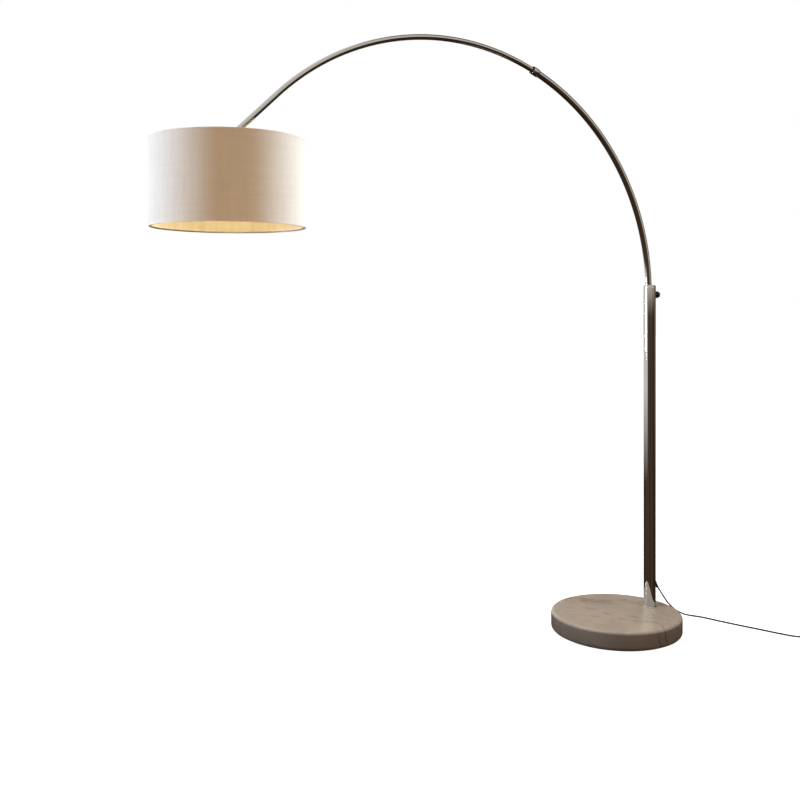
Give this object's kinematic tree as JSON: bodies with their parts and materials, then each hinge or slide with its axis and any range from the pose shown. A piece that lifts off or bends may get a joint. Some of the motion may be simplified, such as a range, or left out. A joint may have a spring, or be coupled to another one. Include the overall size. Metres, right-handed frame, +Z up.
{
  "type": "arc floor lamp",
  "caption": "Arc floor lamp: marble disc base, chromed pole, two-part telescopic arc, drum shade on a tilting knuckle, mains cord with foot switch.",
  "frame": {"origin": "centre of the base's underside, on the floor", "axes": "+Z up the pole; the arc lies in the XZ plane and runs from the pole towards -X; the clamp knob and the cord are on the +X side"},
  "size_m": [2.0841, 0.5734, 1.783],
  "materials": {
    "marble": "polished cream-grey marble with soft grey-brown veins",
    "chrome_plate": "bright mirror-polished chrome plate on steel",
    "zinc_steel": "zinc-plated steel",
    "brass": "turned brass",
    "nickel_pin": "nickel-plated brass",
    "shade_fabric": "fine plain-woven off-white fabric",
    "shade_lining": "warm cream lining film",
    "black_plastic": "black moulded plastic",
    "black_rubber": "black rubber",
    "white_nylon": "moulded nylon",
    "porcelain": "glazed porcelain",
    "bulb_housing": "white moulded bulb housing",
    "opal_globe": "opal diffusing bulb globe, lit warm white",
    "pad_felt": "grey pressed felt",
    "cord_pvc": "black PVC flex"
  },
  "bodies": {
    "stand": {"base_pad": "pad_felt", "marble_base": "marble", "base_bolt": "zinc_steel", "base_washer": "zinc_steel", "pole_foot_plug": "zinc_steel", "pole_foot_ring": "chrome_plate", "pole_tube": "chrome_plate", "pole_bush": "white_nylon", "pole_cap": "chrome_plate", "clamp_boss": "chrome_plate", "cord_gland": "black_rubber", "supply_lead_pole": "cord_pvc", "switch_base": "black_plastic", "switch_cover": "black_plastic", "power_cord_lamp_side": "cord_pvc", "power_cord_plug_side": "cord_pvc", "cord_coil": "cord_pvc", "plug_body": "black_plastic", "plug_pin_1": "nickel_pin", "plug_pin_2": "nickel_pin", "power_cord_tail": "cord_pvc"},
    "clamp_pad": {"clamp_pad": "brass"},
    "clamp_knob": {"clamp_screw": "zinc_steel", "clamp_knob": "black_plastic"},
    "tail_guide": {"tail_guide": "white_nylon"},
    "lower_arm": {"lower_arc_tube": "chrome_plate", "supply_lead_lower": "cord_pvc", "arc_collar": "chrome_plate", "collar_bush": "black_rubber", "collar_set_screw": "zinc_steel"},
    "upper_arm": {"upper_arc_tube": "chrome_plate", "supply_lead_upper": "cord_pvc", "knuckle_fork": "chrome_plate", "knuckle_screw": "zinc_steel", "knuckle_nut": "zinc_steel"},
    "shade_head": {"knuckle_tongue": "chrome_plate", "shade_spider": "chrome_plate", "lampholder_cap": "black_plastic", "nipple_nut": "zinc_steel", "lampholder_insert": "porcelain", "contact_tab": "brass", "thread_sleeve": "brass", "lampholder_shell": "black_plastic", "bulb_cap": "zinc_steel", "bulb_housing": "bulb_housing", "bulb_globe": "opal_globe", "shade_fabric": "shade_fabric", "shade_lining": "shade_lining", "shade_top_ring": "chrome_plate", "shade_bottom_ring": "chrome_plate", "shade_top_binding": "shade_fabric", "shade_bottom_binding": "shade_fabric"},
    "switch_button": {"switch_button": "black_plastic"}
  },
  "joints": [
    {"name": "clamp_travel", "type": "slide", "parent": "stand", "child": "clamp_pad", "axis": [1, 0, 0], "range_m": [0, 0.002]},
    {"name": "clamp_turn", "type": "hinge", "parent": "clamp_pad", "child": "clamp_knob", "pos_m": [0.1595, 0, 1.047], "axis": [1, 0, 0], "range_deg": [0, 720]},
    {"name": "arm_height", "type": "slide", "parent": "stand", "child": "tail_guide", "axis": [0, 0, 1], "range_m": [0, 0.3]},
    {"name": "arm_swivel", "type": "hinge", "parent": "tail_guide", "child": "lower_arm", "pos_m": [0.1265, 0, 1], "axis": [0, 0, 1], "range_deg": [-170, 170]},
    {"name": "arc_extension", "type": "hinge", "parent": "lower_arm", "child": "upper_arm", "pos_m": [-0.5965, 0, 1.052], "axis": [0, 1, 0], "range_deg": [0, 20]},
    {"name": "shade_tilt", "type": "hinge", "parent": "upper_arm", "child": "shade_head", "pos_m": [-1.23182, 0, 1.44357], "axis": [0, 1, 0], "range_deg": [-30, 30]},
    {"name": "switch_press", "type": "slide", "parent": "stand", "child": "switch_button", "axis": [0, 0, -1], "range_m": [0, 0.0025], "stiffness_N_per_m": 900}
  ],
  "couplings": [
    {"joint": "clamp_travel", "follows": "clamp_turn", "m_per_rad": 0.00015915}
  ]
}
